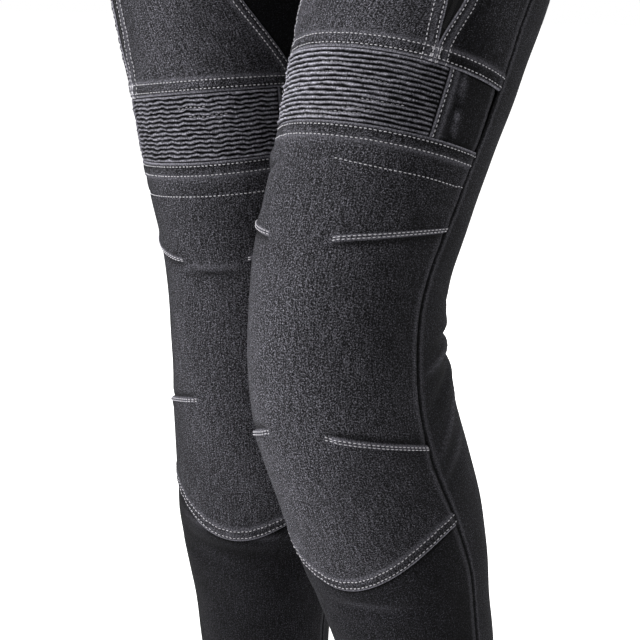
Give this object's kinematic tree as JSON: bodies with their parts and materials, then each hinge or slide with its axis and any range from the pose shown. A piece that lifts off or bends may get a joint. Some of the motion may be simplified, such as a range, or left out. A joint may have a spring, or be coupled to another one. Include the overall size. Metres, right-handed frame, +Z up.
{
  "type": "motorcycle trousers",
  "caption": "Slim denim motorcycle trousers in a walking pose, with ribbed stretch panels above darted knee patches and a closed zip on each thigh.",
  "frame": {"origin": "middle of the waist opening, at the top edge of the waistband, where the wearer holds the garment up", "axes": "+Z up towards the waist, -Y to the front, +X to the wearer's left"},
  "size_m": [0.3737, 0.349, 1.03],
  "materials": {
    "washed_denim": "washed charcoal stretch denim with a light nap",
    "dark_denim": "dark charcoal stretch denim, less washed",
    "ribbed_stretch": "stitched ribs of stretch denim",
    "zip_tape": "black woven tape with a black coil",
    "zip_metal": "dark plated metal"
  },
  "bodies": {
    "garment": {"left_front_panel": "dark_denim", "left_thigh_panel": "washed_denim", "left_side_panel": "washed_denim", "left_rib_panel": "ribbed_stretch", "left_outer_gusset": "dark_denim", "left_inner_gusset": "dark_denim", "left_knee_patch": "washed_denim", "left_shin_panel": "dark_denim", "left_back_panel": "dark_denim", "left_zip_tape": "zip_tape", "left_zip_slider": "zip_metal", "right_front_panel": "dark_denim", "right_thigh_panel": "washed_denim", "right_side_panel": "washed_denim", "right_rib_panel": "ribbed_stretch", "right_outer_gusset": "dark_denim", "right_inner_gusset": "dark_denim", "right_knee_patch": "washed_denim", "right_shin_panel": "dark_denim", "right_back_panel": "dark_denim", "right_zip_tape": "zip_tape", "right_zip_slider": "zip_metal", "waistband": "washed_denim", "waist_button": "zip_metal"},
    "left_pull": {"left_zip_pull": "zip_metal"},
    "right_pull": {"right_zip_pull": "zip_metal"}
  },
  "joints": [
    {"name": "left_zip_pull_hinge", "type": "hinge", "parent": "garment", "child": "left_pull", "pos_m": [0.16409, -0.06405, -0.20503], "axis": [-0.6973, -0.5117, 0.502], "range_deg": [0, 150]},
    {"name": "right_zip_pull_hinge", "type": "hinge", "parent": "garment", "child": "right_pull", "pos_m": [-0.16905, -0.05311, -0.2258], "axis": [-0.6031, 0.7656, -0.2242], "range_deg": [0, 150]}
  ]
}
